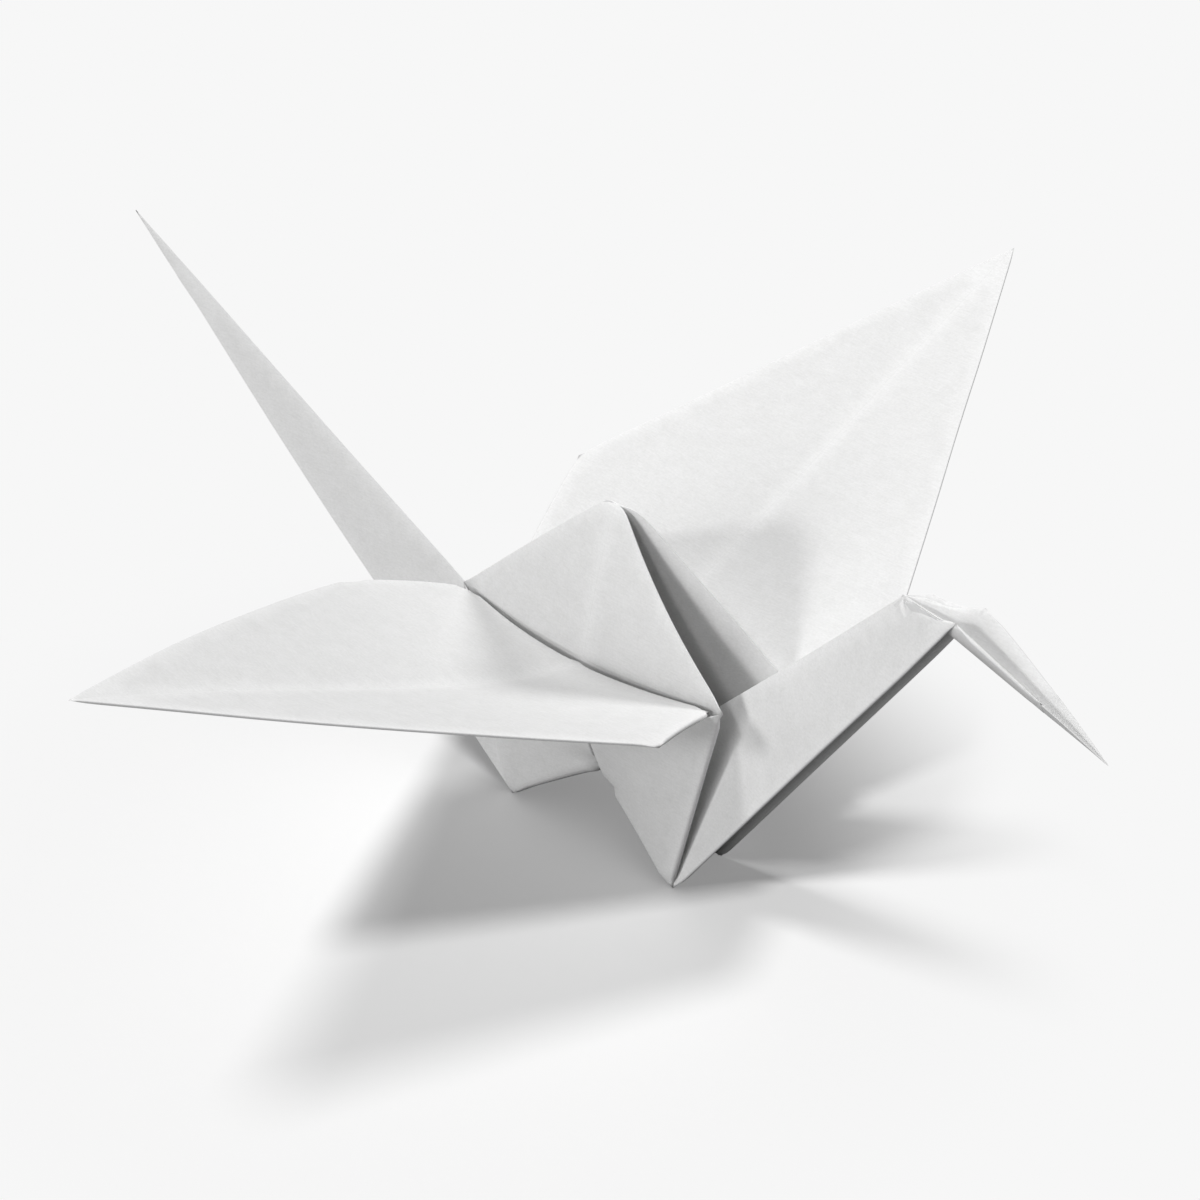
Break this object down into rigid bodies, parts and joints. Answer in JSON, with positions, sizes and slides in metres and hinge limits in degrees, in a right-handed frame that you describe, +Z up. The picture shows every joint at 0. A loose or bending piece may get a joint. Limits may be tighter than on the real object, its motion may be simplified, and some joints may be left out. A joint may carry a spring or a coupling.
{
  "type": "origami crane",
  "caption": "White paper crane folded from one square sheet, with raised wings, a pointed tail and a neck with a bent head, standing on the folds of its body.",
  "frame": {"origin": "on the floor, midway between the four feet that the crane stands on", "axes": "+X from tail to head, +Y to the crane's left wing, +Z up"},
  "size_m": [0.1195, 0.1252, 0.0462],
  "materials": {
    "paper": "matt white craft paper with a fine fibre grain"
  },
  "bodies": {
    "root": {"folded_sheet": "paper"}
  },
  "joints": []
}
